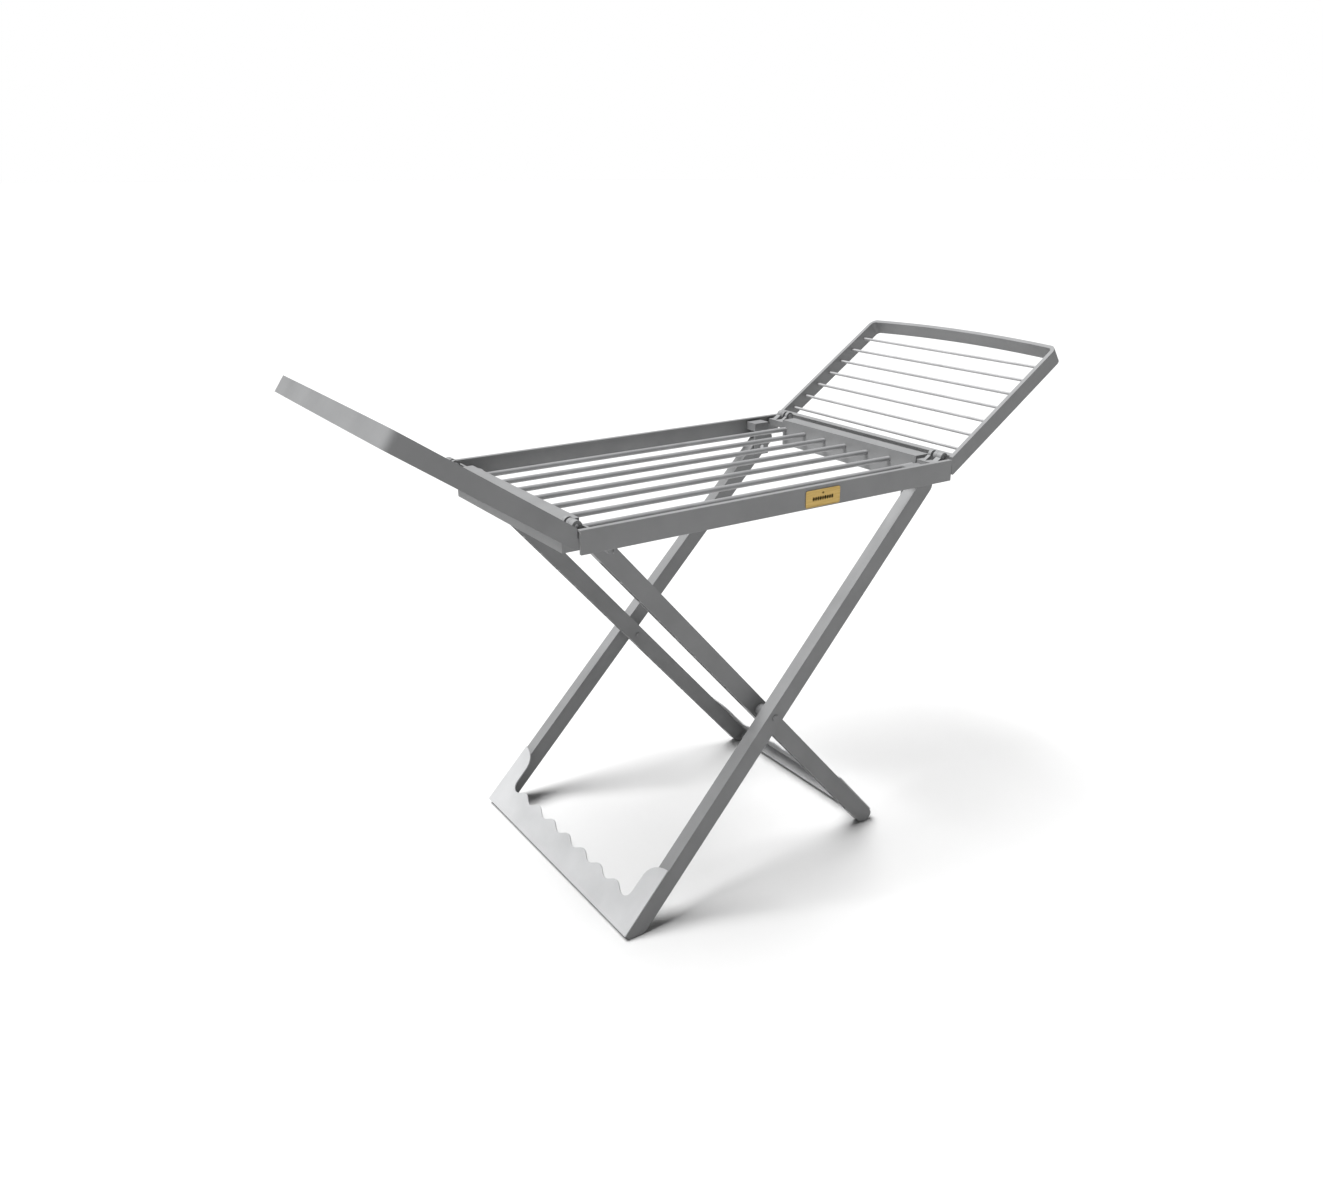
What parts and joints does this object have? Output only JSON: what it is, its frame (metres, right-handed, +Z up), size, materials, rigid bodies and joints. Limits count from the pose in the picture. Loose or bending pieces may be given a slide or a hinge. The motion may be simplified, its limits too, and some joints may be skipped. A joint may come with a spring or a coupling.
{
  "type": "clothes drying rack",
  "caption": "Folding clothes drying rack: a level tray of rods between moulded rails, raised rod wings hinged at both ends, on crossed leg frames with scalloped foot plates.",
  "frame": {"origin": "on the floor under the middle of the tray", "axes": "+X along the rack towards the right wing, +Y across it away from the side with the name plate, +Z up"},
  "size_m": [1.4618, 0.5956, 0.9995],
  "materials": {
    "tray_frame": "satin",
    "wing_frame": "satin",
    "leg": "satin",
    "foot_plate": "satin",
    "fitting": "satin",
    "tray_rod": "satin",
    "wing_rod": "satin",
    "pin": "satin",
    "name_plate": "satin"
  },
  "bodies": {
    "outer_frame": {"outer_leg_near": "leg", "outer_leg_far": "leg", "outer_foot_plate": "foot_plate", "crossing_pin_near": "pin", "crossing_pin_far": "pin", "crossing_spacer_near": "fitting", "crossing_spacer_far": "fitting", "tray_pivot_pin_near": "pin", "tray_pivot_pin_far": "pin"},
    "inner_frame": {"inner_leg_near": "leg", "inner_leg_far": "leg", "inner_foot_plate": "foot_plate", "catch_peg_near": "pin", "catch_peg_far": "pin"},
    "tray": {"near_rail": "tray_frame", "far_rail": "tray_frame", "left_cross_bar": "tray_frame", "right_cross_bar": "tray_frame", "tray_rod_1": "tray_rod", "tray_rod_2": "tray_rod", "tray_rod_3": "tray_rod", "tray_rod_4": "tray_rod", "tray_rod_5": "tray_rod", "tray_rod_6": "tray_rod", "tray_rod_7": "tray_rod", "name_plate": "name_plate", "leg_bracket_near": "fitting", "leg_bracket_far": "fitting", "catch_block_near": "fitting", "catch_block_far": "fitting", "hinge_pin_left_near": "pin", "hinge_pin_left_far": "pin", "hinge_pin_right_near": "pin", "hinge_pin_right_far": "pin"},
    "left_wing": {"left_wing_frame": "wing_frame", "left_wing_rod_1": "wing_rod", "left_wing_rod_2": "wing_rod", "left_wing_rod_3": "wing_rod", "left_wing_rod_4": "wing_rod", "left_wing_rod_5": "wing_rod", "left_wing_rod_6": "wing_rod", "left_wing_rod_7": "wing_rod"},
    "right_wing": {"right_wing_frame": "wing_frame", "right_wing_rod_1": "wing_rod", "right_wing_rod_2": "wing_rod", "right_wing_rod_3": "wing_rod", "right_wing_rod_4": "wing_rod", "right_wing_rod_5": "wing_rod", "right_wing_rod_6": "wing_rod", "right_wing_rod_7": "wing_rod"}
  },
  "joints": [
    {"name": "tray_fold", "type": "hinge", "parent": "outer_frame", "child": "tray", "pos_m": [0.34155, 0, 0.73503], "axis": [0, -1, 0], "range_deg": [0, 43]},
    {"name": "leg_fold", "type": "hinge", "parent": "outer_frame", "child": "inner_frame", "pos_m": [-0.0162, 0, 0.3538], "axis": [0, -1, 0], "range_deg": [0, 88.11]},
    {"name": "left_wing_fold", "type": "hinge", "parent": "tray", "child": "left_wing", "pos_m": [-0.4127, 0, 0.7985], "axis": [0, 1, 0], "range_deg": [0, 144]},
    {"name": "right_wing_fold", "type": "hinge", "parent": "tray", "child": "right_wing", "pos_m": [0.4127, 0, 0.7985], "axis": [0, -1, 0], "range_deg": [0, 144]}
  ],
  "couplings": [
    {"joint": "leg_fold", "follows": "tray_fold", "ratio": 2.049}
  ]
}
